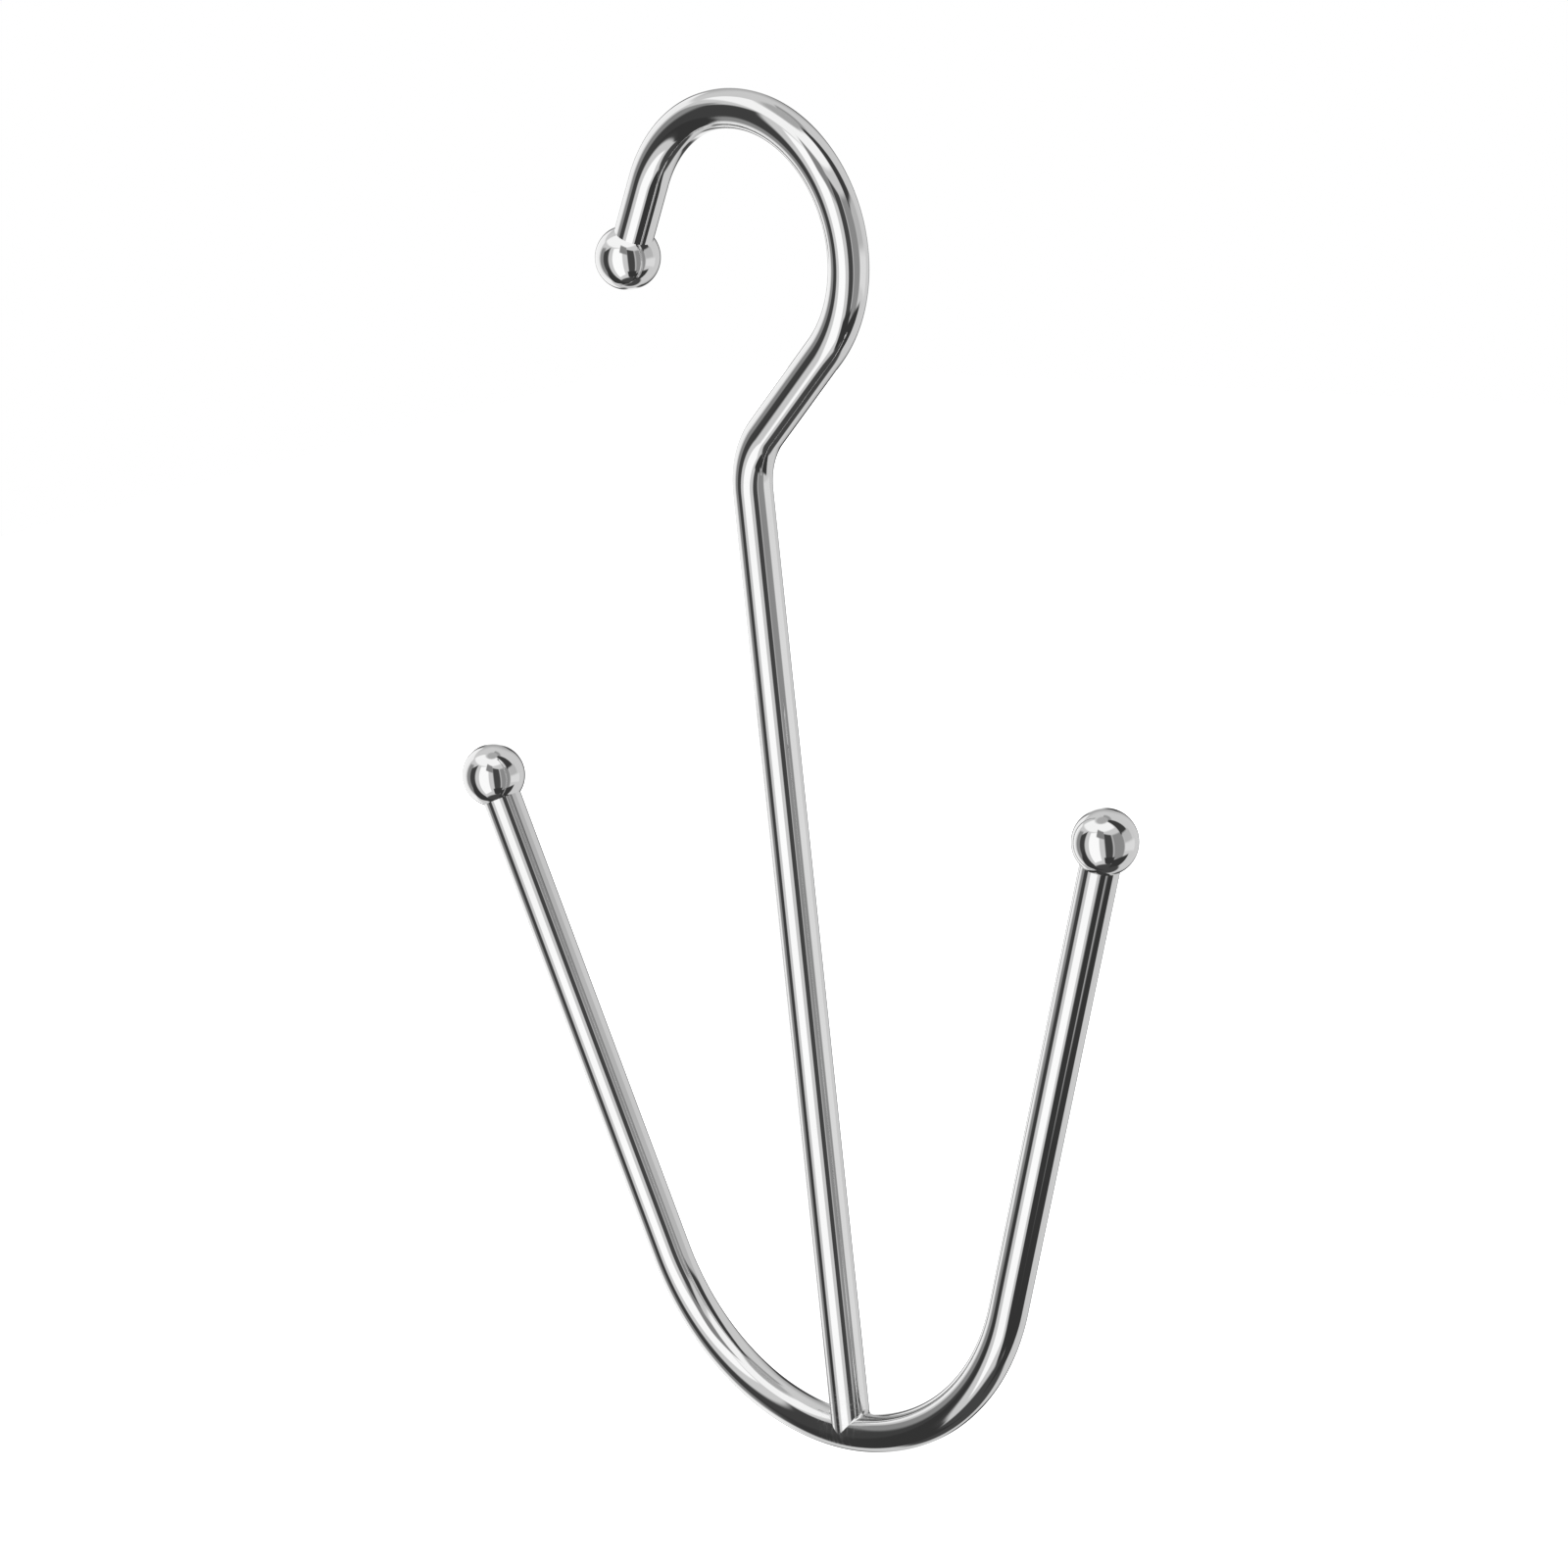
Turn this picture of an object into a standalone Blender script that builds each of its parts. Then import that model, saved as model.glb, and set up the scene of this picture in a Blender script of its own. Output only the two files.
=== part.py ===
"""A shoe hanger of bright steel wire.

One wire makes the hook, its neck and the straight stem. A second makes the
cradle, a U whose straight arms flare outwards and each take one shoe. The stem
stands on the middle of the cradle, coped to its round and welded there, and a
drilled ball caps the tip of the hook and the tip of each arm.

Metres, +Z up. Both wires are bent in the XZ plane, and the rail that carries
the hanger runs along Y. The origin is the inner face of the hook at the top of
its arc, where it rests on the rail. +X points to the closed side of the hook.
"""

import math

import bmesh
import bpy
from mathutils import Matrix, Vector

# Wire, the same stock for hook and cradle, and the gap that its fits keep
WIRE_DIAMETER = 0.006
FIT_GAP = 0.0003
WIRE_END_CHAMFER = 0.0005

# Hook and stem. Every bend radius is to the middle of the wire.
HOOK_BEND_RADIUS = 0.0204
TIP_FLARE = math.radians(27.6)
TIP_TO_BALL = 0.013
NECK_ANGLE = math.radians(47)
NECK_STRAIGHT = 0.0183
NECK_BEND_RADIUS = 0.0124
STEM_STRAIGHT = 0.1455

# Cradle
CRADLE_BEND_RADIUS = 0.037
ARM_FLARE = math.radians(20.5)
ARM_TO_BALL = 0.0786

# Balls, each drilled past its centre to take the end of the wire
BALL_WALL = 0.0016
BORE_PAST_CENTRE = 0.001
DRILL_POINT_ANGLE = math.radians(118)

# Weld, a fillet in each corner between the stem's foot and the cradle
WELD_LEG = 0.001
WELD_END_LEG_SHARE = 0.25
WELD_SPREAD = math.radians(58)

# Facets
WIRE_SIDES = 24
BEND_STEP = math.radians(5)
BALL_SIDES = 28
BALL_STEP = math.radians(10)
WELD_SECTIONS = 11
WELD_ARC_STEPS = 5
SMOOTH_ANGLE = math.radians(30)
MERGE_DISTANCE = 0.000001

# Finishes: colour and roughness
BRIGHT_WIRE = ((0.78, 0.78, 0.79), 0.08)
BRIGHT_BALL = ((0.8, 0.8, 0.81), 0.05)
DRESSED_WELD = ((0.72, 0.72, 0.73), 0.18)

# Turns, and headings in the XZ plane measured from +X towards +Z
QUARTER_TURN = math.radians(90)
HALF_TURN = math.radians(180)
FULL_TURN = math.radians(360)
RIGHT = 0.0
LEFT = HALF_TURN

# Sizes that follow from those above
WIRE_RADIUS = WIRE_DIAMETER / 2
COPE_RADIUS = WIRE_RADIUS + FIT_GAP
BORE_RADIUS = WIRE_RADIUS + FIT_GAP
BALL_RADIUS = BORE_RADIUS + BALL_WALL
WIRE_END_PAST_CENTRE = BORE_PAST_CENTRE - FIT_GAP


def clear_scene():
    for obj in list(bpy.data.objects):
        bpy.data.objects.remove(obj, do_unlink=True)


def steel(name, finish):
    colour, roughness = finish
    material = bpy.data.materials.new(name)
    material.use_nodes = True
    shader = material.node_tree.nodes["Principled BSDF"]
    shader.inputs["Base Color"].default_value = (*colour, 1)
    shader.inputs["Metallic"].default_value = 1
    shader.inputs["Roughness"].default_value = roughness
    material.diffuse_color = (*colour, 1)
    return material


def make_object(name, bm, parent, finish=None, place=Matrix()):
    """Turn a bmesh into a smooth-shaded object at its place in its parent."""
    bmesh.ops.recalc_face_normals(bm, faces=bm.faces)
    mesh = bpy.data.meshes.new(name)
    bm.to_mesh(mesh)
    bm.free()
    mesh.shade_smooth()
    mesh.set_sharp_from_angle(angle=SMOOTH_ANGLE)
    if finish:
        mesh.materials.append(steel(name.replace("_", " "), finish))
    obj = bpy.data.objects.new(name, mesh)
    bpy.context.scene.collection.objects.link(obj)
    obj.parent = parent
    obj.matrix_local = place
    return obj


def direction(heading):
    return Vector((math.cos(heading), 0, math.sin(heading)))


def turn_up_to(heading):
    """The turn about Y that brings +Z onto a heading."""
    return Matrix.Rotation(QUARTER_TURN - heading, 4, "Y")


def verts_in(geometry):
    return [item for item in geometry if isinstance(item, bmesh.types.BMVert)]


class WireEnd:
    """The growing end of a round wire that is bent in the XZ plane."""

    def __init__(self, bm, ring, point, heading):
        self.bm = bm
        self.ring = ring
        self.point = point
        self.heading = heading

    def straight(self, length):
        run = direction(self.heading) * length
        grown = bmesh.ops.extrude_edge_only(self.bm, edges=self.ring)["geom"]
        bmesh.ops.translate(self.bm, verts=verts_in(grown), vec=run)
        self.ring = self.last_ring(grown)
        self.point = self.point + run

    def bend(self, radius, turn):
        """Bend by an angle, positive to the left as seen along the way ahead."""
        to_centre = math.copysign(QUARTER_TURN, turn)
        centre = self.point + direction(self.heading + to_centre) * radius
        grown = bmesh.ops.spin(
            self.bm,
            geom=self.ring,
            cent=centre,
            axis=(0, -1, 0),
            angle=turn,
            steps=math.ceil(abs(turn) / BEND_STEP),
        )["geom_last"]
        self.ring = self.last_ring(grown)
        self.heading += turn
        self.point = centre - direction(self.heading + to_centre) * radius

    def last_ring(self, grown):
        verts = set(verts_in(grown))
        edges = [item for item in grown if isinstance(item, bmesh.types.BMEdge)]
        return [edge for edge in edges if verts.issuperset(edge.verts)]

    def cut_off(self):
        return bmesh.ops.contextual_create(self.bm, geom=self.ring)["faces"][0]

    def finish_in_ball(self):
        """Run on into the ball's bore, and break the edge of the cut.

        Returns the ball's centre and the wire's heading there.
        """
        centre = self.point
        self.straight(WIRE_END_PAST_CENTRE)
        bmesh.ops.bevel(
            self.bm,
            geom=list(self.cut_off().edges),
            offset=WIRE_END_CHAMFER,
            segments=1,
            affect="EDGES",
        )
        return centre, self.heading


def start_wire(bm, radius, point, heading):
    """A ring of wire at a point, and the two ends that grow from it, one each way."""
    circle = bmesh.ops.create_circle(
        bm,
        segments=WIRE_SIDES,
        radius=radius,
        matrix=Matrix.Translation(point) @ turn_up_to(heading),
    )
    ring = list({edge for vert in circle["verts"] for edge in vert.link_edges})
    ahead = WireEnd(bm, ring, point, heading)
    behind = WireEnd(bm, ring, point, heading + HALF_TURN)
    return ahead, behind


def bend_hook():
    """The hook's wire, from its top out to the tip and back round to the foot.

    Returns the mesh, the place of the hook's ball, and the point on the middle
    line of the cradle where the stem ends.
    """
    bm = bmesh.new()
    top = Vector((0, 0, WIRE_RADIUS))
    tip, back = start_wire(bm, WIRE_RADIUS, top, LEFT)

    tip.bend(HOOK_BEND_RADIUS, QUARTER_TURN - TIP_FLARE)
    tip.straight(TIP_TO_BALL)
    ball = tip.finish_in_ball()

    back.bend(HOOK_BEND_RADIUS, -QUARTER_TURN - NECK_ANGLE)
    back.straight(NECK_STRAIGHT)
    back.bend(NECK_BEND_RADIUS, NECK_ANGLE)
    back.straight(STEM_STRAIGHT)
    back.cut_off()
    return bm, ball, back.point


def bend_cradle():
    """The cradle's wire about its own origin, the middle of its bend.

    Returns the mesh and the places of the right and the left ball.
    """
    bm = bmesh.new()
    balls = []
    half_bend = QUARTER_TURN - ARM_FLARE
    ends = start_wire(bm, WIRE_RADIUS, Vector(), RIGHT)
    for end, turn in zip(ends, (half_bend, -half_bend)):
        end.bend(CRADLE_BEND_RADIUS, turn)
        end.straight(ARM_TO_BALL)
        balls.append(end.finish_in_ball())
    return bm, balls


def bend_cope_cutter():
    """The cradle's bend again, thicker by the fit gap."""
    bm = bmesh.new()
    half_bend = QUARTER_TURN - ARM_FLARE
    ends = start_wire(bm, COPE_RADIUS, Vector(), RIGHT)
    for end, turn in zip(ends, (half_bend, -half_bend)):
        end.bend(CRADLE_BEND_RADIUS, turn)
        end.cut_off()
    return bm


def turn_ball():
    """A ball turned about Z, with a blind hole drilled into it from below."""
    mouth_angle = HALF_TURN - math.asin(BORE_RADIUS / BALL_RADIUS)
    steps = math.ceil(mouth_angle / BALL_STEP)
    profile = []
    for step in range(steps + 1):
        angle = mouth_angle * step / steps
        profile.append((BALL_RADIUS * math.sin(angle), BALL_RADIUS * math.cos(angle)))
    drill_point = BORE_RADIUS / math.tan(DRILL_POINT_ANGLE / 2)
    profile.append((BORE_RADIUS, BORE_PAST_CENTRE))
    profile.append((0, BORE_PAST_CENTRE + drill_point))

    bm = bmesh.new()
    verts = [bm.verts.new((across, 0, along)) for across, along in profile]
    edges = [bm.edges.new(pair) for pair in zip(verts, verts[1:])]
    bmesh.ops.spin(
        bm,
        geom=verts + edges,
        cent=(0, 0, 0),
        axis=(0, 0, 1),
        angle=FULL_TURN,
        steps=BALL_SIDES,
    )
    bmesh.ops.remove_doubles(bm, verts=bm.verts, dist=MERGE_DISTANCE)
    return bm


def add_ball(name, place, parent):
    """Stand a ball at its place with its hole facing back along the wire."""
    centre, heading = place
    matrix = Matrix.Translation(centre) @ turn_up_to(heading)
    make_object(name, turn_ball(), parent, BRIGHT_BALL, matrix)


def cradle_top(x, y):
    """Height above the cradle's origin, a fit gap clear of the inside of its bend."""
    face_radius = CRADLE_BEND_RADIUS - math.sqrt(COPE_RADIUS**2 - y**2)
    return CRADLE_BEND_RADIUS - math.sqrt(face_radius**2 - x**2)


def run_weld(side):
    """A fillet in the corner on one side of the stem, about the cradle's origin.

    Its sections lie in XZ planes. Each has its corner a fit gap clear of stem and
    cradle, and a hollow arc between two legs, which shorten towards the ends.
    """
    bm = bmesh.new()
    sections = []
    for index in range(WELD_SECTIONS):
        along = 2 * index / (WELD_SECTIONS - 1) - 1
        leg = WELD_LEG * (1 - (1 - WELD_END_LEG_SHARE) * along**2)
        corner_x = COPE_RADIUS * math.cos(WELD_SPREAD * along)
        y = COPE_RADIUS * math.sin(WELD_SPREAD * along)
        outline = [(corner_x, cradle_top(corner_x, y))]
        for step in range(WELD_ARC_STEPS + 1):
            angle = QUARTER_TURN * step / WELD_ARC_STEPS
            x = corner_x + leg * (1 - math.cos(angle))
            outline.append((x, cradle_top(x, y) + leg * (1 - math.sin(angle))))
        verts = [bm.verts.new((side * x, y, z)) for x, z in outline]
        sections.append([bm.edges.new(pair) for pair in zip(verts, verts[1:] + verts[:1])])
    for first, second in zip(sections, sections[1:]):
        bmesh.ops.bridge_loops(bm, edges=first + second)
    for end in (sections[0], sections[-1]):
        bmesh.ops.contextual_create(bm, geom=end)
    return bm


def cope_foot(stem, cradle):
    """Cut the foot of the stem to the round of the cradle, a fit gap clear of it."""
    cutter = make_object("cope_cutter", bend_cope_cutter(), cradle)
    cutter.hide_render = True
    cutter.display_type = "WIRE"
    cope = stem.modifiers.new("cope", "BOOLEAN")
    cope.operation = "DIFFERENCE"
    cope.solver = "EXACT"
    cope.object = cutter


def build_hanger():
    clear_scene()
    hanger = bpy.data.objects.new("hanger", None)
    bpy.context.scene.collection.objects.link(hanger)

    hook_wire, hook_ball, foot = bend_hook()
    stem = make_object("hook_stem", hook_wire, hanger, BRIGHT_WIRE)
    add_ball("hook_ball", hook_ball, stem)

    cradle_wire, (right_ball, left_ball) = bend_cradle()
    at_foot = Matrix.Translation(foot)
    cradle = make_object("cradle", cradle_wire, hanger, BRIGHT_WIRE, at_foot)
    add_ball("right_ball", right_ball, cradle)
    add_ball("left_ball", left_ball, cradle)

    cope_foot(stem, cradle)
    make_object("right_weld", run_weld(1), cradle, DRESSED_WELD)
    make_object("left_weld", run_weld(-1), cradle, DRESSED_WELD)


build_hanger()
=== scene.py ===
"""Shoe hanger of polished steel wire, hung in a white studio.

Metres, +Z up, in the frame of the CAD: both wires lie in the XZ plane, the
origin is the inner face of the hook at its top, and the rail would run along Y.
Headings in the XZ plane are angles measured from +X towards +Z.
"""

import math
from typing import NamedTuple

import bmesh
import bpy
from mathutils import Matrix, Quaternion, Vector
from mathutils.kdtree import KDTree


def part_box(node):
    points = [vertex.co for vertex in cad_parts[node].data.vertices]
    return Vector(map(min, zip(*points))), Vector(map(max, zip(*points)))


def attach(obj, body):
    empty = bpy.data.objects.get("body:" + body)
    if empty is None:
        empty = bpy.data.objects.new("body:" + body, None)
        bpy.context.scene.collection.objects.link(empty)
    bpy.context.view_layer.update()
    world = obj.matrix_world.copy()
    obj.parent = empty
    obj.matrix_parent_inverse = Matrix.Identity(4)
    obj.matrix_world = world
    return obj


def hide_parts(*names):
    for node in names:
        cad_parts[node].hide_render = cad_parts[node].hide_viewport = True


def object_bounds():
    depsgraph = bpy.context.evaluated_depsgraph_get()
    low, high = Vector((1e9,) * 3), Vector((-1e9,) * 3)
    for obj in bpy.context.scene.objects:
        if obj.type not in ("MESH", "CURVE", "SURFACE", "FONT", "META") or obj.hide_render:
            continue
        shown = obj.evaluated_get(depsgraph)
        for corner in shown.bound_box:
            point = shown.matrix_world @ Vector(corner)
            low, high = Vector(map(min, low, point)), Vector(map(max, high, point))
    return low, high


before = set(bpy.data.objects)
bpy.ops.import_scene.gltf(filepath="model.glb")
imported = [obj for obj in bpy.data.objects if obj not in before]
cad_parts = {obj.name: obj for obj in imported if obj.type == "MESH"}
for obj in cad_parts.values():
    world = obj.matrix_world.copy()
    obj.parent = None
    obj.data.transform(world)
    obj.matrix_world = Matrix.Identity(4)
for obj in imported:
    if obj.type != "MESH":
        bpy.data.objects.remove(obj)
CAD_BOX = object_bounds()

QUARTER_TURN = math.radians(90)
HALF_TURN = math.radians(180)
UP = QUARTER_TURN
RIGHT = 0.0

# Places and sizes read from the frame
CRADLE_LOW, CRADLE_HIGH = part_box("cradle")
BALL_LOW, BALL_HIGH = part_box("hook_ball")
WIRE_RADIUS = (CRADLE_HIGH.y - CRADLE_LOW.y) / 2
BALL_RADIUS = (BALL_HIGH.x - BALL_LOW.x) / 2
FOOT = Vector(((CRADLE_LOW.x + CRADLE_HIGH.x) / 2, 0, CRADLE_LOW.z + WIRE_RADIUS))
HANGER_MIDDLE = (CAD_BOX[0] + CAD_BOX[1]) / 2

# Bending schedule of the hook's wire from its foot up, and of half the cradle
STEM_STRAIGHT = 0.1455
NECK_BEND_RADIUS = 0.0124
NECK_ANGLE = math.radians(47)
NECK_STRAIGHT = 0.0183
HOOK_BEND_RADIUS = 0.0204
TIP_FLARE = math.radians(27.6)
TIP_TO_BALL = 0.013
CRADLE_BEND_RADIUS = 0.037
ARM_FLARE = math.radians(20.5)
ARM_TO_BALL = 0.0786
WIRE_PAST_BALL_CENTRE = 0.0007
WIRE_END_CHAMFER = 0.0005

# How finely the wires and balls are made
WIRE_SIDES = 64
BEND_STEP = math.radians(1.5)
STRAIGHT_MARGIN = 0.001
BALL_SEGMENTS = 96
BALL_RINGS = 48
CHAMFER_STEPS = 2
SHARP_ANGLE = math.radians(35)
MERGE_DISTANCE = 0.000001

# Close fits: the coped foot, and the balls' bores with their broken mouths. The
# bores come out narrower than this, as the note in turn_ball says
COPE_CLEARANCE = 0.00002
BORE_CLEARANCE = 0.00002
MOUTH_CHAMFER = 0.00008
BORE_PAST_CENTRE = 0.001

# Weld fillets
WELD_LEG = 0.001
WELD_END_LEG_SHARE = 0.12
WELD_SPREAD = math.radians(62)
WELD_SINK = 0.00006
WELD_SECTIONS = 61
WELD_ARC_STEPS = 14

# Camera, and the studio round the hanger
CAMERA_AZIMUTH = math.radians(44.2)
CAMERA_ELEVATION = math.radians(12.7)
CAMERA_ROLL = math.radians(6)
CAMERA_DISTANCE = 0.995
CAMERA_LENS_MM = 153.8
TENT_RADIUS = 1.2
TENT_SEGMENTS = 300
FLOOR_BELOW_RAIL = 1.6
FLOOR_SIZE = 14.0
LAMP_HEIGHT = 1.5
LAMP_SIZE = 1.4
LAMP_WATTS = 14.0
FLOOR_PAINT = 0.85
WORLD_LIGHT = 0.7

# The steel's reflectance, and the shades that it drifts between on each finish
STEEL = (0.68, 0.68, 0.68)
WIRE_SHADES = (0.97, 1.03)
BALL_SHADES = (0.98, 1.04)
WELD_SHADES = (0.88, 0.98)
WELD_SHADE = 0.93

# Marks on the steel: how fine they are, in features per metre on each axis
WIRE_CLOUDS = (40, 40, 40)
WIRE_HAZE = (900, 900, 60)
WIRE_WAVER = (90, 90, 70)
DIE_LINES = (9000, 9000, 25)
HAIRLINES = (500, 500, 9000)
BALL_CLOUDS = (150, 150, 150)
BALL_HAZE = (1500, 1500, 1500)
BALL_WAVER = (420, 420, 420)
BALL_MARKS = (400, 400, 9000)
WELD_CLOUDS = (900, 900, 900)
WELD_RIPPLES = (1500, 1500, 1500)
BELT_LINES = (9000, 1200, 9000)

# How scratches and marks lie aslant of those axes, in radians
HAIRLINE_TURN = (0.5, 0.3, 0)
BALL_MARK_TURN = (0.4, 0.7, 0)

# Marks on the steel: how deep they are, in metres
WIRE_WAVER_DEPTH = 0.00002
DIE_LINE_DEPTH = 0.0000006
SCRATCH_DEPTH = 0.000001
BALL_WAVER_DEPTH = 0.000006
BALL_MARK_DEPTH = 0.0000004
WELD_RIPPLE_DEPTH = 0.00001
BELT_LINE_DEPTH = 0.000002

# How rough each finish is, and how much rougher where it is rubbed or scratched
WIRE_ROUGHNESS = (0.02, 0.045)
BALL_ROUGHNESS = (0.015, 0.035)
WELD_ROUGHNESS = (0.1, 0.22)
RUBBED_ROUGHNESS = 0.06
SCRATCH_ROUGHNESS = 0.15

# How far the rail's rubbing and the dressing of the weld reach, in metres: they
# show in full up to the first distance and are gone at the second
RAIL_RUB = (0.0015, 0.0045)
WELD_DRESSING = (0.004, 0.0075)

# Spans of a noise's value: nearly all of it, or only its peaks
USUAL_SPAN = (0.3, 0.7)
WIDE_SPAN = (0.3, 0.75)
SCRATCH_SPAN = (0.55, 0.7)
MARK_SPAN = (0.7, 0.8)
WHOLE = (0.0, 1.0)


def way(heading):
    return Vector((math.cos(heading), 0, math.sin(heading)))


# Shaping, with the operators of edit mode


def add_primitive(operator, name, **settings):
    """A new primitive on its own, named, with everything else deselected."""
    bpy.ops.object.select_all(action="DESELECT")
    operator(**settings)
    piece = bpy.context.object
    piece.name = name
    piece.data.name = name
    return piece


def edit(piece):
    bpy.context.view_layer.objects.active = piece
    bpy.ops.object.mode_set(mode="EDIT")


def leave_edit():
    bpy.ops.object.mode_set(mode="OBJECT")


def select_verts(piece, wanted):
    """Select only the points of the edited piece for which wanted(point) is true."""
    bpy.ops.mesh.select_mode(type="VERT")
    bpy.ops.mesh.select_all(action="DESELECT")
    mesh = bmesh.from_edit_mesh(piece.data)
    for vert in mesh.verts:
        vert.select = wanted(vert.co)
    mesh.select_flush_mode()
    bmesh.update_edit_mesh(piece.data)


def settle(piece):
    """Place into the mesh, normals outwards, smooth but for its real edges."""
    bpy.ops.object.select_all(action="DESELECT")
    piece.select_set(True)
    bpy.context.view_layer.objects.active = piece
    bpy.ops.object.transform_apply(location=True, rotation=True, scale=True)
    edit(piece)
    bpy.ops.mesh.select_all(action="SELECT")
    bpy.ops.mesh.remove_doubles(threshold=MERGE_DISTANCE)
    bpy.ops.mesh.normals_make_consistent(inside=False)
    leave_edit()
    bpy.ops.object.shade_smooth_by_angle(angle=SHARP_ANGLE)


def apply_modifier(piece, modifier):
    bpy.ops.object.select_all(action="DESELECT")
    piece.select_set(True)
    bpy.context.view_layer.objects.active = piece
    bpy.ops.object.modifier_apply(modifier=modifier.name)


class BentWire:
    """A round wire that is drawn on from its open end and bent in the XZ plane.

    Its course keeps, for each ring of points, the middle of the wire, the wire's
    heading and the length of wire used up to there.
    """

    def __init__(self, name, radius, start, heading):
        self.piece = add_primitive(
            bpy.ops.mesh.primitive_circle_add,
            name,
            vertices=WIRE_SIDES,
            radius=radius,
            location=start,
            rotation=(0, QUARTER_TURN - heading, 0),
        )
        bpy.ops.object.transform_apply(location=False, rotation=True, scale=True)
        self.point = Vector(start)
        self.heading = heading
        self.used = 0.0
        self.course = [(self.point, self.heading, self.used)]
        edit(self.piece)
        bpy.ops.mesh.select_all(action="SELECT")

    def note(self, point, heading, length):
        self.point = point
        self.heading = heading
        self.used += length
        self.course.append((self.point, self.heading, self.used))

    def straight(self, length):
        """A straight run, with a ring close to each end so that its light stays even."""
        margin = min(STRAIGHT_MARGIN, length / 4)
        for part in (margin, length - 2 * margin, margin):
            step = way(self.heading) * part
            bpy.ops.mesh.extrude_region_move(TRANSFORM_OT_translate={"value": step})
            self.note(self.point + step, self.heading, part)

    def bend(self, radius, turn):
        """Bend by an angle, positive to the left as seen along the way ahead."""
        to_centre = math.copysign(QUARTER_TURN, turn)
        centre = self.point + way(self.heading + to_centre) * radius
        steps = math.ceil(abs(turn) / BEND_STEP)
        bpy.ops.mesh.spin(steps=steps, angle=turn, center=centre, axis=(0, 1, 0))
        for _ in range(steps):
            heading = self.heading + turn / steps
            point = centre - way(heading + to_centre) * radius
            self.note(point, heading, radius * abs(turn) / steps)

    def cut_off(self):
        """Close the open end with a flat cut."""
        bpy.ops.mesh.edge_face_add()

    def finish_in_ball(self):
        """Run on into the ball's bore and break the edge of the cut.

        Returns the middle of the ball and the wire's heading there.
        """
        middle = self.point
        self.straight(WIRE_PAST_BALL_CENTRE)
        self.cut_off()
        bpy.ops.mesh.bevel(offset=WIRE_END_CHAMFER, segments=CHAMFER_STEPS, affect="EDGES")
        return middle, self.heading

    def close_start(self):
        """Close the end that the wire was started from, and leave edit mode."""
        point, heading, _ = self.course[0]
        inside = self.piece.matrix_world.inverted() @ point
        ahead = way(heading)
        select_verts(self.piece, lambda co: abs((co - inside).dot(ahead)) < MERGE_DISTANCE)
        self.cut_off()
        leave_edit()


def keep_drawn_lengths(piece, course):
    """Give each point its place in the wire as it was before bending.

    The attribute holds two distances across the wire and the distance along it, so
    that the lines left by the drawing die follow the wire round its bends.
    """
    rings = KDTree(len(course))
    for index, (point, _, _) in enumerate(course):
        rings.insert(point, index)
    rings.balance()
    drawn = piece.data.attributes.new("drawn", "FLOAT_VECTOR", "POINT")
    for vert in piece.data.vertices:
        _, index, _ = rings.find(vert.co - Vector((0, vert.co.y, 0)))
        point, heading, used = course[index]
        offset = vert.co - point
        along = offset.dot(way(heading))
        across = offset.dot(way(heading + QUARTER_TURN))
        drawn.data[vert.index].vector = (across, offset.y, used + along)


# The pieces


def bend_hook_stem():
    """Stem, neck and hook, from the flat foot up and round to the tip."""
    wire = BentWire("hook_stem_wire", WIRE_RADIUS, FOOT, UP)
    wire.straight(STEM_STRAIGHT)
    wire.bend(NECK_BEND_RADIUS, -NECK_ANGLE)
    wire.straight(NECK_STRAIGHT)
    wire.bend(HOOK_BEND_RADIUS, HALF_TURN + NECK_ANGLE - TIP_FLARE)
    wire.straight(TIP_TO_BALL)
    ball = wire.finish_in_ball()
    wire.close_start()
    return wire, ball


def bend_half_cradle(name, radius):
    """Half the cradle's bend, from its middle out to the right."""
    wire = BentWire(name, radius, FOOT, RIGHT)
    wire.bend(CRADLE_BEND_RADIUS, QUARTER_TURN - ARM_FLARE)
    return wire


def mirror_half(wire):
    """Mirror a half wire about its start, and lay its course out to match."""
    mirror = wire.piece.modifiers.new("other half", "MIRROR")
    mirror.merge_threshold = MERGE_DISTANCE
    apply_modifier(wire.piece, mirror)
    other = []
    for point, heading, used in reversed(wire.course[1:]):
        other.append((Vector((2 * FOOT.x - point.x, 0, point.z)), -heading, -used))
    wire.course = other + wire.course


def bend_cradle():
    """The cradle: half of it bent and finished, then mirrored."""
    wire = bend_half_cradle("cradle_wire", WIRE_RADIUS)
    wire.straight(ARM_TO_BALL)
    middle, heading = wire.finish_in_ball()
    leave_edit()
    mirror_half(wire)
    other_middle = Vector((2 * FOOT.x - middle.x, 0, middle.z))
    return wire, (middle, heading), (other_middle, HALF_TURN - heading)


def cope_foot(stem):
    """Cut the foot of the stem to sit on the round of the cradle."""
    wire = bend_half_cradle("cope_cutter", WIRE_RADIUS + COPE_CLEARANCE)
    wire.cut_off()
    leave_edit()
    mirror_half(wire)
    settle(wire.piece)
    cope = stem.modifiers.new("cope", "BOOLEAN")
    cope.operation = "DIFFERENCE"
    cope.solver = "EXACT"
    cope.object = wire.piece
    apply_modifier(stem, cope)
    bpy.data.objects.remove(wire.piece, do_unlink=True)


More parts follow.
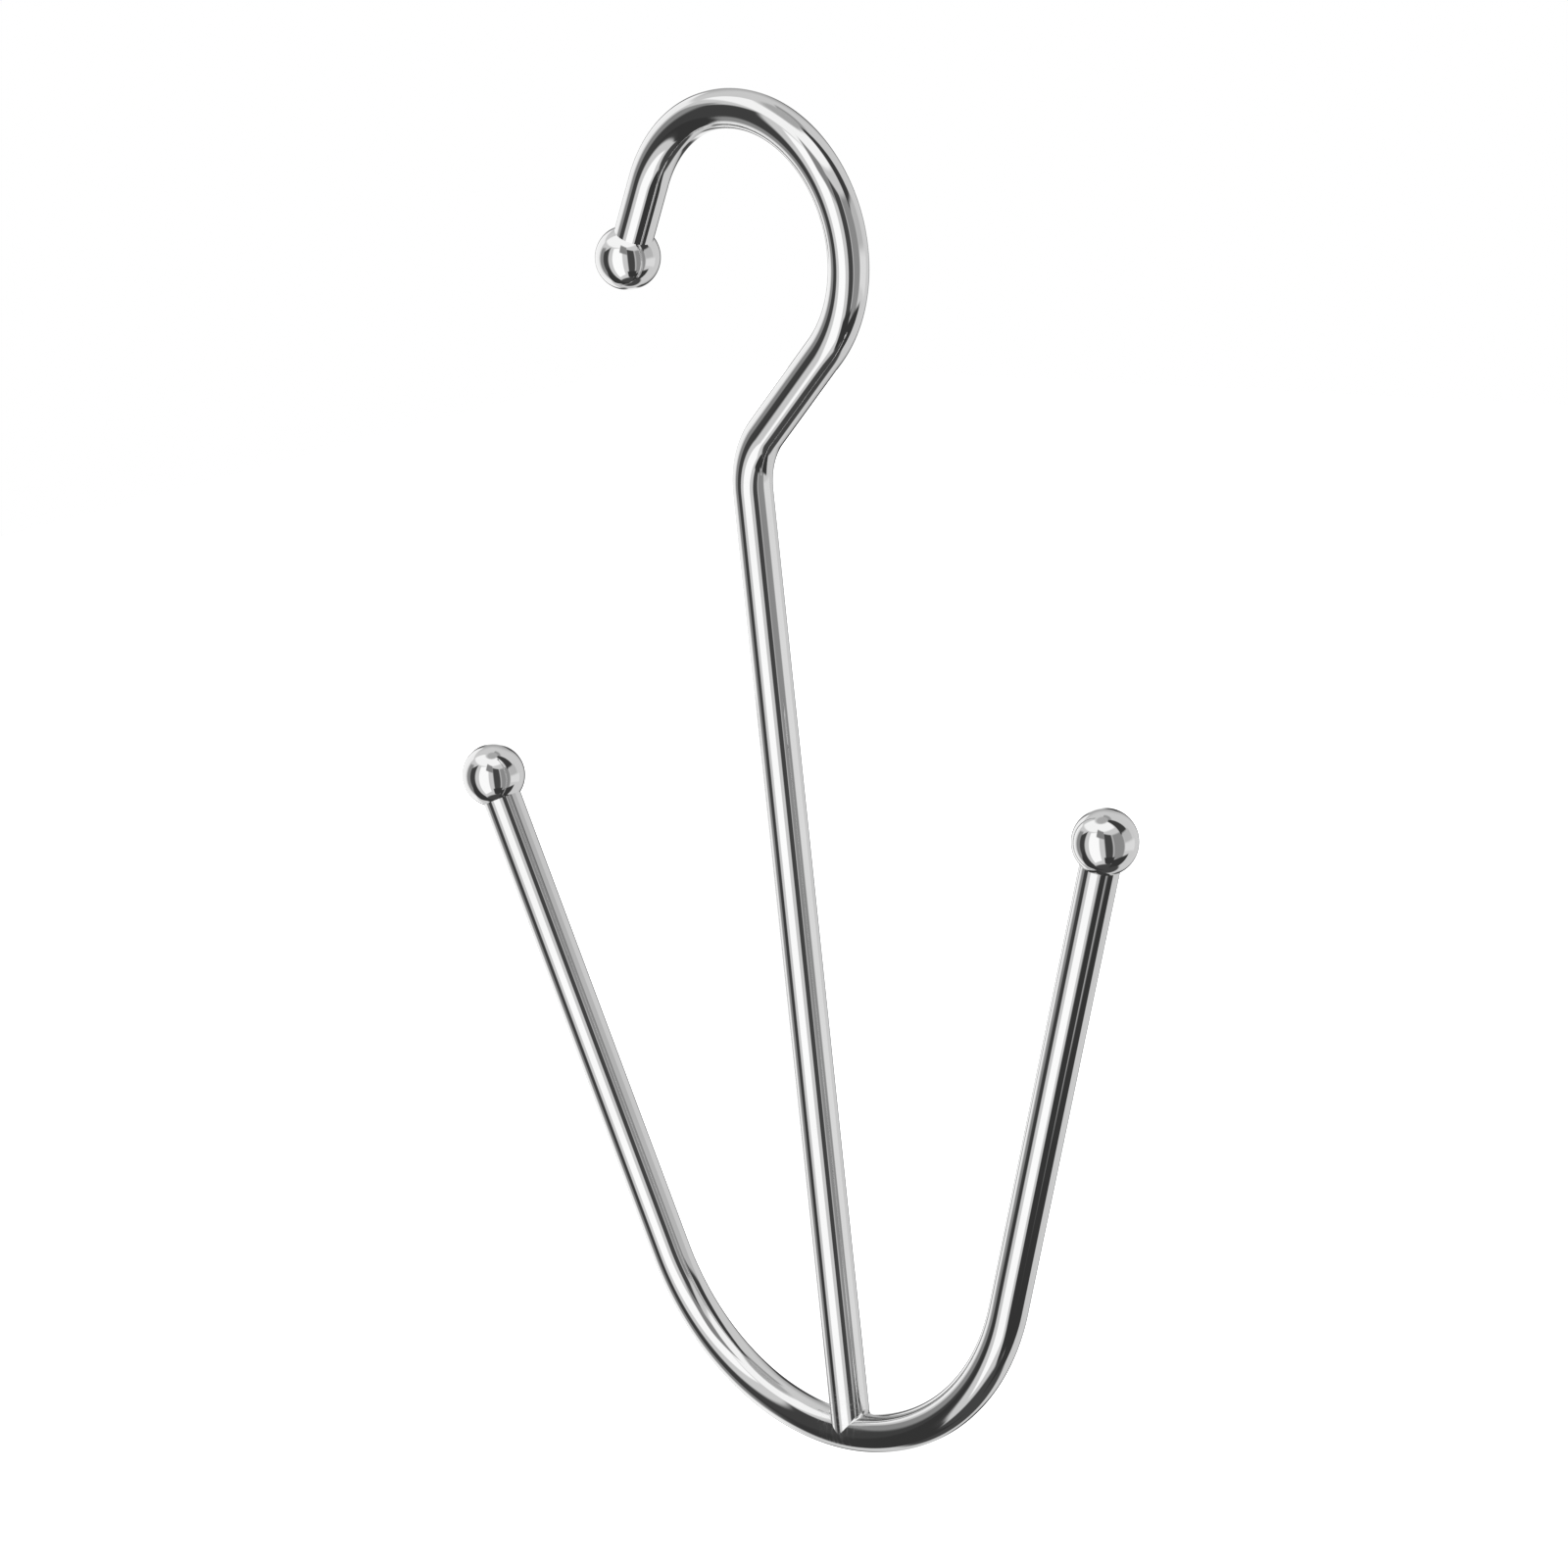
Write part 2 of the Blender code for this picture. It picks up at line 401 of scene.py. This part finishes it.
def turn_ball(name, middle, heading):
    """A steel ball with a blind bore, its mouth facing back along the wire."""
    bore_radius = WIRE_RADIUS + BORE_CLEARANCE
    mouth_radius = bore_radius + MOUTH_CHAMFER
    mouth = -math.sqrt(BALL_RADIUS**2 - mouth_radius**2)
    ball = add_primitive(
        bpy.ops.mesh.primitive_uv_sphere_add,
        name,
        segments=BALL_SEGMENTS,
        ring_count=BALL_RINGS,
        radius=BALL_RADIUS,
    )
    edit(ball)
    bpy.ops.mesh.select_all(action="SELECT")
    # Known fault: bisect keeps points within its default threshold of 0.1 mm, so the
    # cut falls on the sphere's ring just beyond the mouth. Mouth and bore come out
    # 0.12 mm smaller in radius than asked for, and the wire overlaps the ball inside.
    bpy.ops.mesh.bisect(plane_co=(0, 0, mouth), plane_no=(0, 0, 1), clear_inner=True)
    select_verts(ball, lambda co: co.z < mouth + MERGE_DISTANCE)
    bpy.ops.mesh.extrude_region_move(TRANSFORM_OT_translate={"value": (0, 0, MOUTH_CHAMFER)})
    share = bore_radius / mouth_radius
    bpy.ops.transform.resize(value=(share, share, 1), center_override=(0, 0, 0))
    depth = BORE_PAST_CENTRE - mouth - MOUTH_CHAMFER
    bpy.ops.mesh.extrude_region_move(TRANSFORM_OT_translate={"value": (0, 0, depth)})
    bpy.ops.mesh.edge_face_add()
    leave_edit()
    ball.rotation_euler = (0, QUARTER_TURN - heading, 0)
    ball.location = middle
    return ball


def cradle_top(x, y, radius):
    """Height of the cradle's upper face above its middle line at the foot."""
    face_radius = CRADLE_BEND_RADIUS - math.sqrt(radius**2 - y**2)
    return CRADLE_BEND_RADIUS - math.sqrt(face_radius**2 - x**2)


def run_weld(name, side):
    """A dressed fillet in the corner on one side of the stem.

    Its sections stand across the corner, hollow between two legs that shorten
    towards its ends, and its root is sunk a little into both wires.
    """
    mesh = bmesh.new()
    root = WIRE_RADIUS - WELD_SINK
    rings = []
    for index in range(WELD_SECTIONS):
        along = 2 * index / (WELD_SECTIONS - 1) - 1
        leg = WELD_LEG * (1 - (1 - WELD_END_LEG_SHARE) * along**2)
        corner_x = root * math.cos(WELD_SPREAD * along)
        y = root * math.sin(WELD_SPREAD * along)
        ring = [mesh.verts.new((side * corner_x, y, cradle_top(corner_x, y, root)))]
        for step in range(WELD_ARC_STEPS + 1):
            angle = QUARTER_TURN * step / WELD_ARC_STEPS
            x = corner_x + leg * (1 - math.cos(angle))
            z = cradle_top(x, y, root) + leg * (1 - math.sin(angle))
            ring.append(mesh.verts.new((side * x, y, z)))
        rings.append(ring)
    for first, second in zip(rings, rings[1:]):
        for this, following in zip(range(-1, len(first) - 1), range(len(first))):
            mesh.faces.new((first[this], first[following], second[following], second[this]))
    mesh.faces.new(rings[0])
    mesh.faces.new(rings[-1])
    data = bpy.data.meshes.new(name)
    mesh.to_mesh(data)
    mesh.free()
    weld = bpy.data.objects.new(name, data)
    bpy.context.scene.collection.objects.link(weld)
    weld.location = FOOT
    return weld


# Finishes


class Finish:
    """A steel finish in the making: its material, with short ways to add nodes."""

    def __init__(self, name, colour):
        self.material = bpy.data.materials.new(name)
        self.material.use_nodes = True
        self.nodes = self.material.node_tree.nodes
        self.links = self.material.node_tree.links
        self.shader = self.nodes["Principled BSDF"]
        self.shader.inputs["Metallic"].default_value = 1.0
        self.shader.inputs["Base Color"].default_value = (*colour, 1)
        self.material.diffuse_color = (*colour, 1)

    def add(self, kind, **settings):
        node = self.nodes.new(kind)
        for name, value in settings.items():
            setattr(node, name, value)
        return node

    def feed(self, source, target):
        self.links.new(source, target)

    def drawn_place(self):
        """Where a point lies in the wire as it was before bending."""
        return self.add("ShaderNodeAttribute", attribute_name="drawn").outputs["Vector"]

    def object_place(self):
        return self.add("ShaderNodeTexCoord").outputs["Object"]

    def grain(self, place, fineness, detail, turn=(0, 0, 0)):
        """Noise with its own fineness, in features per metre, on each axis."""
        mapping = self.add("ShaderNodeMapping")
        mapping.inputs["Scale"].default_value = fineness
        mapping.inputs["Rotation"].default_value = turn
        noise = self.add("ShaderNodeTexNoise")
        noise.inputs["Scale"].default_value = 1.0
        noise.inputs["Detail"].default_value = detail
        self.feed(place, mapping.inputs["Vector"])
        self.feed(mapping.outputs["Vector"], noise.inputs["Vector"])
        return noise.outputs["Fac"]

    def remap(self, value, span, result):
        """Lay a span of values over another one, held at its ends."""
        node = self.add("ShaderNodeMapRange")
        node.inputs["From Min"].default_value = span[0]
        node.inputs["From Max"].default_value = span[1]
        node.inputs["To Min"].default_value = result[0]
        node.inputs["To Max"].default_value = result[1]
        self.feed(value, node.inputs["Value"])
        return node.outputs["Result"]

    def combine(self, operation, first, second):
        node = self.add("ShaderNodeMath", operation=operation)
        for value, socket in zip((first, second), node.inputs):
            if isinstance(value, float):
                socket.default_value = value
            else:
                self.feed(value, socket)
        return node.outputs["Value"]

    def near(self, place, spot, reach):
        """1 up to the first distance from a spot, fading to 0 at the second."""
        distance = self.add("ShaderNodeVectorMath", operation="DISTANCE")
        distance.inputs[1].default_value = spot
        self.feed(place, distance.inputs[0])
        return self.remap(distance.outputs["Value"], reach, (1.0, 0.0))

    def tint(self, value, shades):
        """Base colour that drifts between two close shades of the steel."""
        mix = self.add("ShaderNodeMix", data_type="RGBA")
        colours = [socket for socket in mix.inputs if socket.type == "RGBA"]
        for colour, shade in zip(colours, shades):
            colour.default_value = (*scaled(STEEL, shade), 1)
        self.feed(value, mix.inputs["Factor"])
        result = [socket for socket in mix.outputs if socket.type == "RGBA"][0]
        self.feed(result, self.shader.inputs["Base Color"])

    def relief(self, height, depth, under=None):
        """A bump of a real depth in metres, laid over another bump if given."""
        bump = self.add("ShaderNodeBump")
        bump.inputs["Strength"].default_value = 1.0
        bump.inputs["Distance"].default_value = depth
        self.feed(height, bump.inputs["Height"])
        if under:
            self.feed(under, bump.inputs["Normal"])
        return bump.outputs["Normal"]


def scaled(colour, factor):
    return tuple(channel * factor for channel in colour)


def polished_wire_finish():
    """Drawn wire, polished bright.

    Faint lines from the die run along it, the straights waver a little, fine
    scuffs lie on the hook's inner face where a rail rubs, and the foot of the stem
    is duller where the weld was dressed.
    """
    steel = Finish("polished_wire", STEEL)
    drawn = steel.drawn_place()
    place = steel.object_place()

    clouds = steel.grain(place, WIRE_CLOUDS, detail=3)
    steel.tint(steel.remap(clouds, USUAL_SPAN, WHOLE), WIRE_SHADES)

    die_lines = steel.grain(drawn, DIE_LINES, detail=2)
    haze = steel.grain(drawn, WIRE_HAZE, detail=4)
    hairlines = steel.grain(drawn, HAIRLINES, detail=0, turn=HAIRLINE_TURN)
    rubbed = steel.near(place, (0, 0, 0), RAIL_RUB)
    dressed = steel.near(place, tuple(FOOT + Vector((0, 0, WIRE_RADIUS))), WELD_DRESSING)
    worn = steel.combine("MAXIMUM", rubbed, dressed)
    scratches = steel.combine("MULTIPLY", worn, steel.remap(hairlines, SCRATCH_SPAN, WHOLE))

    clean = steel.remap(haze, WIDE_SPAN, WIRE_ROUGHNESS)
    dulled = steel.combine("MULTIPLY", worn, RUBBED_ROUGHNESS)
    rough = steel.combine("ADD", clean, dulled)
    scratched = steel.combine("MULTIPLY", scratches, SCRATCH_ROUGHNESS)
    rough = steel.combine("ADD", rough, scratched)
    steel.feed(rough, steel.shader.inputs["Roughness"])

    waver = steel.relief(steel.grain(drawn, WIRE_WAVER, detail=1), WIRE_WAVER_DEPTH)
    lines = steel.relief(die_lines, DIE_LINE_DEPTH, under=waver)
    surface = steel.relief(scratches, SCRATCH_DEPTH, under=lines)
    steel.feed(surface, steel.shader.inputs["Normal"])
    return steel.material


def polished_ball_finish():
    """Balls tumbled and polished a shade brighter than the wire, faintly uneven."""
    steel = Finish("polished_ball", STEEL)
    place = steel.object_place()
    steel.tint(steel.grain(place, BALL_CLOUDS, detail=2), BALL_SHADES)
    haze = steel.grain(place, BALL_HAZE, detail=3)
    rough = steel.remap(haze, USUAL_SPAN, BALL_ROUGHNESS)
    steel.feed(rough, steel.shader.inputs["Roughness"])
    waver = steel.relief(steel.grain(place, BALL_WAVER, detail=1), BALL_WAVER_DEPTH)
    marks = steel.grain(place, BALL_MARKS, detail=0, turn=BALL_MARK_TURN)
    marks = steel.remap(marks, MARK_SPAN, WHOLE)
    surface = steel.relief(marks, BALL_MARK_DEPTH, under=waver)
    steel.feed(surface, steel.shader.inputs["Normal"])
    return steel.material


def dressed_weld_finish():
    """Weld metal, dressed with a fine belt along the corner and half polished."""
    steel = Finish("dressed_weld", scaled(STEEL, WELD_SHADE))
    place = steel.object_place()
    steel.tint(steel.grain(place, WELD_CLOUDS, detail=3), WELD_SHADES)
    belt_lines = steel.grain(place, BELT_LINES, detail=2)
    rough = steel.remap(belt_lines, USUAL_SPAN, WELD_ROUGHNESS)
    steel.feed(rough, steel.shader.inputs["Roughness"])
    ripples = steel.relief(steel.grain(place, WELD_RIPPLES, detail=1), WELD_RIPPLE_DEPTH)
    surface = steel.relief(belt_lines, BELT_LINE_DEPTH, under=ripples)
    steel.feed(surface, steel.shader.inputs["Normal"])
    return steel.material


def finish_piece(piece, material, node):
    settle(piece)
    piece.data.materials.clear()
    piece.data.materials.append(material)
    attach(piece, "root")
    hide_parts(node)


def make_hanger():
    wire_steel = polished_wire_finish()
    ball_steel = polished_ball_finish()
    weld_steel = dressed_weld_finish()

    stem_wire, hook_ball = bend_hook_stem()
    cope_foot(stem_wire.piece)
    finish_piece(stem_wire.piece, wire_steel, "hook_stem")
    keep_drawn_lengths(stem_wire.piece, stem_wire.course)

    cradle_wire, right_ball, left_ball = bend_cradle()
    finish_piece(cradle_wire.piece, wire_steel, "cradle")
    keep_drawn_lengths(cradle_wire.piece, cradle_wire.course)

    balls = {"hook_ball": hook_ball, "right_ball": right_ball, "left_ball": left_ball}
    for node, (middle, heading) in balls.items():
        ball = turn_ball(f"{node}_turned", middle, heading)
        finish_piece(ball, ball_steel, node)

    for node, side in (("right_weld", 1), ("left_weld", -1)):
        weld = run_weld(f"{node}_fillet", side)
        finish_piece(weld, weld_steel, node)


# Studio


def studio_way(azimuth, elevation):
    """Direction from the hanger: azimuth 0 is towards the camera and grows to its right."""
    around = CAMERA_AZIMUTH + math.radians(azimuth)
    rise = math.radians(elevation)
    level = math.cos(rise)
    return Vector((math.sin(around) * level, -math.cos(around) * level, math.sin(rise)))


class Panel(NamedTuple):
    """A light or dark panel of the tent, in degrees as seen from the hanger.

    It may be hung aslant: climb is its rise for each degree to the right.
    """

    name: str
    left: float
    right: float
    bottom: float
    top: float
    tone: float
    soft_edge: float
    climb: float = 0.0

    def cover(self, azimuth, elevation):
        """How much of the tent it covers in a direction, from 0 to 1."""
        half_width = (self.right - self.left) / 2
        half_height = (self.top - self.bottom) / 2
        aside = (azimuth - (self.left + self.right) / 2 + 180) % 360 - 180
        lift = elevation - (self.bottom + self.top) / 2 - self.climb * aside
        across = smooth_step((half_width - abs(aside)) / self.soft_edge + 0.5)
        return across * smooth_step((half_height - abs(lift)) / self.soft_edge + 0.5)


# The tent's own cloth, and the panels that are laid over it in this order, with
# the left, right, bottom and top of each, its tone and the width of its soft edge
TENT_TONE = 0.83
PANELS = (
    Panel("back_shade", 150, 210, -50, 40, 0.5, 30),
    Panel("dark_floor_cloth", -190, 190, -110, -65, 0.08, 6),
    Panel("ceiling_panel", -120, 56, 44, 74, 1.3, 6, climb=0.05),
    Panel("zenith", -190, 190, 75, 110, 0.55, 8),
    Panel("left_flag_edge", -113, -93, -55, 29, 0.35, 6, climb=0.3),
    Panel("left_flag", -96, -73, -70, 31, 0.07, 6, climb=0.8),
    Panel("left_flag_foot", -125, -78, -80, -32, 0.05, 6, climb=0.8),
    Panel("softbox", -57, -20, -53, 42, 1.4, 4, climb=0.15),
    Panel("upper_front_grey", -31, -2, 25, 50, 0.32, 6, climb=-0.3),
    Panel("front_flag", -2, 24, -70, 35, 0.08, 5, climb=-0.3),
    Panel("grey_wall", 27, 64, -46, 30, 0.36, 7),
    Panel("lower_front_cloth", -8, 32, -64, -40, 0.05, 5),
    Panel("lower_right_cloth", 28, 88, -75, -41, 0.05, 5, climb=0.3),
    Panel("upper_right_flag", 60, 94, 21, 75, 0.06, 5),
    Panel("upper_right_tail", 95, 164, 66, 76, 0.42, 6),
    Panel("right_wall", 66, 100, -2, 24, 0.65, 6),
    Panel("right_light", 66, 112, -25, -5, 1.0, 6),
    Panel("back_left_light", -162, -120, -43, 35, 1.2, 5),
    Panel("back_right_flag", 157, 171, -50, 22, 0.08, 5),
    Panel("back_strip_light", 174, 187, -47, 18, 1.15, 5),
    Panel("back_left_flag", 190, 198, -50, 22, 0.12, 5),
)


def smooth_step(share):
    share = min(max(share, 0.0), 1.0)
    return share * share * (3 - 2 * share)


def tent_tone(azimuth, elevation):
    """Brightness of the tent in a direction: its cloth, with each panel laid over it."""
    tone = TENT_TONE
    for panel in PANELS:
        cover = panel.cover(azimuth, elevation)
        tone += (panel.tone - tone) * cover
    return tone


def pitch_tent():
    """A light tent round the hanger, seen only by the reflections in its steel."""
    tent = add_primitive(
        bpy.ops.mesh.primitive_uv_sphere_add,
        "light_tent",
        segments=TENT_SEGMENTS,
        ring_count=TENT_SEGMENTS // 2,
        radius=TENT_RADIUS,
        location=HANGER_MIDDLE,
    )
    tones = tent.data.attributes.new("tone", "FLOAT", "POINT")
    for vert in tent.data.vertices:
        elevation = math.degrees(math.atan2(vert.co.z, vert.co.xy.length))
        around = math.degrees(math.atan2(vert.co.x, -vert.co.y) - CAMERA_AZIMUTH)
        tones.data[vert.index].value = tent_tone(around, elevation)
    bpy.ops.object.transform_apply(location=True, rotation=True, scale=True)

    material = bpy.data.materials.new("lit_cloth")
    material.use_nodes = True
    nodes = material.node_tree.nodes
    links = material.node_tree.links
    nodes.clear()
    tone = nodes.new("ShaderNodeAttribute")
    tone.attribute_name = "tone"
    light = nodes.new("ShaderNodeEmission")
    output = nodes.new("ShaderNodeOutputMaterial")
    links.new(tone.outputs["Fac"], light.inputs["Strength"])
    links.new(light.outputs["Emission"], output.inputs["Surface"])
    tent.data.materials.append(material)

    tent.visible_camera = False
    tent.visible_diffuse = False
    tent.visible_transmission = False
    tent.visible_shadow = False


def lay_floor():
    """A pale floor that looks white and keeps the shadow of what hangs over it."""
    level = -FLOOR_BELOW_RAIL
    floor = add_primitive(
        bpy.ops.mesh.primitive_plane_add, "floor", size=FLOOR_SIZE, location=(0, 0, level)
    )
    bpy.ops.object.transform_apply(location=True, rotation=True, scale=True)
    material = bpy.data.materials.new("white_floor")
    material.use_nodes = True
    nodes = material.node_tree.nodes
    links = material.node_tree.links
    nodes.clear()
    output = nodes.new("ShaderNodeOutputMaterial")
    paint = nodes.new("ShaderNodeBsdfDiffuse")
    paint.inputs["Color"].default_value = (FLOOR_PAINT, FLOOR_PAINT, FLOOR_PAINT, 1)
    lift = nodes.new("ShaderNodeEmission")
    lift.inputs["Color"].default_value = (1, 1, 1, 1)
    seen = seen_directly(nodes, links)
    links.new(seen, lift.inputs["Strength"])
    both = nodes.new("ShaderNodeAddShader")
    links.new(paint.outputs["BSDF"], both.inputs[0])
    links.new(lift.outputs["Emission"], both.inputs[1])
    links.new(both.outputs["Shader"], output.inputs["Surface"])
    floor.data.materials.append(material)


def seen_directly(nodes, links):
    """1 for what the camera sees, also in a mirror or through glass, and 0 for light."""
    path = nodes.new("ShaderNodeLightPath")
    most = path.outputs["Is Camera Ray"]
    for ray in ("Is Glossy Ray", "Is Transmission Ray"):
        either = nodes.new("ShaderNodeMath")
        either.operation = "MAXIMUM"
        links.new(most, either.inputs[0])
        links.new(path.outputs[ray], either.inputs[1])
        most = either.outputs["Value"]
    return most


def light_world():
    """White where it is seen, and a little lower as light."""
    world = bpy.data.worlds.new("studio")
    world.use_nodes = True
    bpy.context.scene.world = world
    nodes = world.node_tree.nodes
    links = world.node_tree.links
    background = nodes["Background"]
    background.inputs["Color"].default_value = (1, 1, 1, 1)
    seen = seen_directly(nodes, links)
    strength = nodes.new("ShaderNodeMapRange")
    strength.inputs["To Min"].default_value = WORLD_LIGHT
    strength.inputs["To Max"].default_value = 1.0
    links.new(seen, strength.inputs["Value"])
    links.new(strength.outputs["Result"], background.inputs["Strength"])


def hang_lamp():
    lamp = bpy.data.lights.new("overhead_lamp", "AREA")
    lamp.shape = "SQUARE"
    lamp.size = LAMP_SIZE
    lamp.energy = LAMP_WATTS
    holder = bpy.data.objects.new("overhead_lamp", lamp)
    holder.location = HANGER_MIDDLE + Vector((0, 0, LAMP_HEIGHT))
    bpy.context.scene.collection.objects.link(holder)


def set_camera():
    """The photograph's view: from the right and a little above, with the hanger leaning."""
    lens = bpy.data.cameras.new("camera")
    lens.lens = CAMERA_LENS_MM
    camera = bpy.data.objects.new("camera", lens)
    bpy.context.scene.collection.objects.link(camera)
    back = studio_way(0, math.degrees(CAMERA_ELEVATION))
    camera.location = HANGER_MIDDLE + back * CAMERA_DISTANCE
    level = (-back).to_track_quat("-Z", "Y")
    lean = Quaternion((0, 0, 1), -CAMERA_ROLL)
    camera.rotation_euler = (level @ lean).to_euler()
    bpy.context.scene.camera = camera


make_hanger()
pitch_tent()
lay_floor()
light_world()
hang_lamp()
set_camera()
bpy.context.scene.view_settings.view_transform = "Standard"
